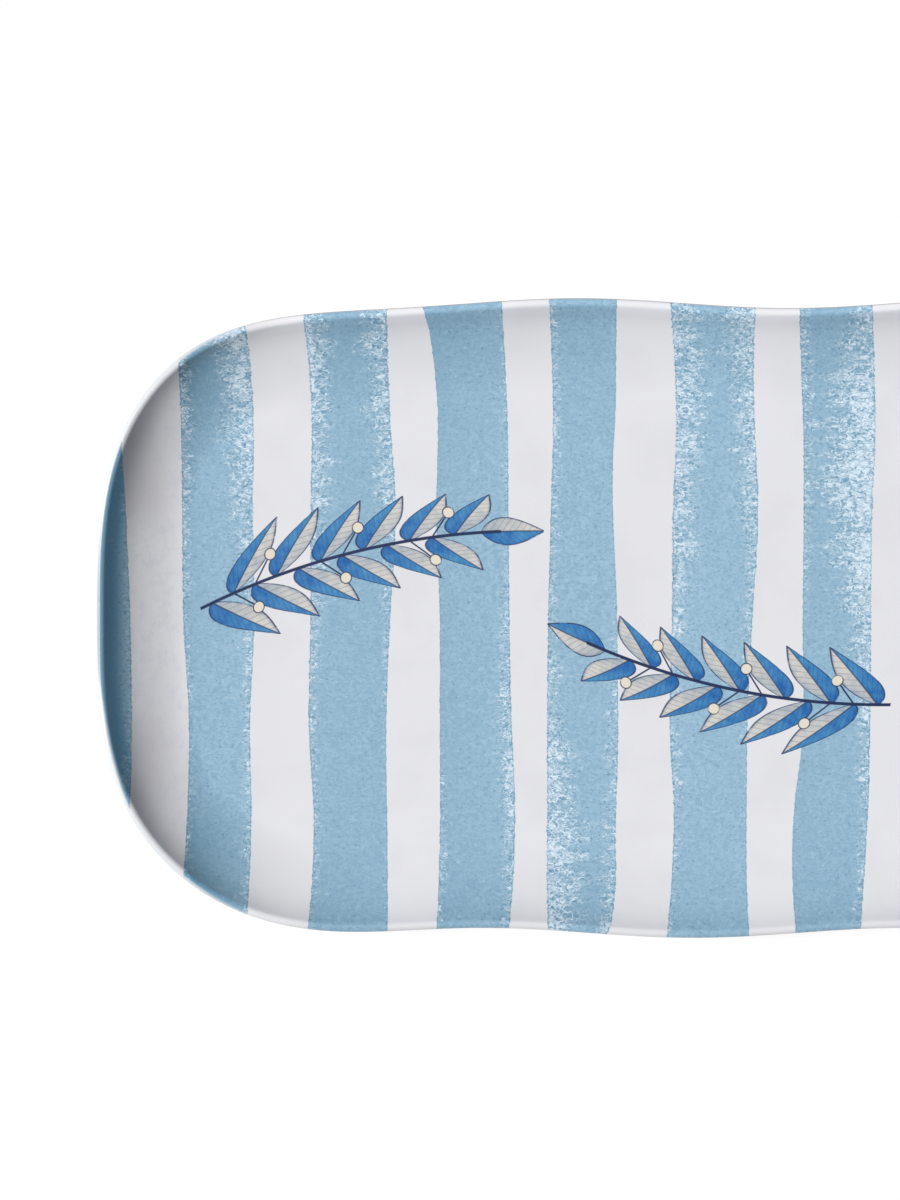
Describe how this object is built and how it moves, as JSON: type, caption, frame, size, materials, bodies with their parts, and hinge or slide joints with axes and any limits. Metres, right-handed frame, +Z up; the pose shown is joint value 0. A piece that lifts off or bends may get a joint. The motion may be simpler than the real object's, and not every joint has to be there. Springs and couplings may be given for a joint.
{
  "type": "serving platter",
  "caption": "Long shallow serving platter with gently waved sides, softly squared ends and a moulded foot ring, pressed in layers with a striped printed face.",
  "frame": {"origin": "middle of the plan, on the underside of the foot ring", "axes": "+X along the length, -Y towards the front side, +Z up out of the well"},
  "size_m": [0.38, 0.194, 0.016],
  "materials": {
    "moulded_resin": "satin",
    "printed_paper": "printed, pressed into the resin",
    "clear_resin": "clear satin"
  },
  "bodies": {
    "root": {"moulded_body": "moulded_resin", "printed_foil": "printed_paper", "clear_overlay": "clear_resin"}
  },
  "joints": []
}
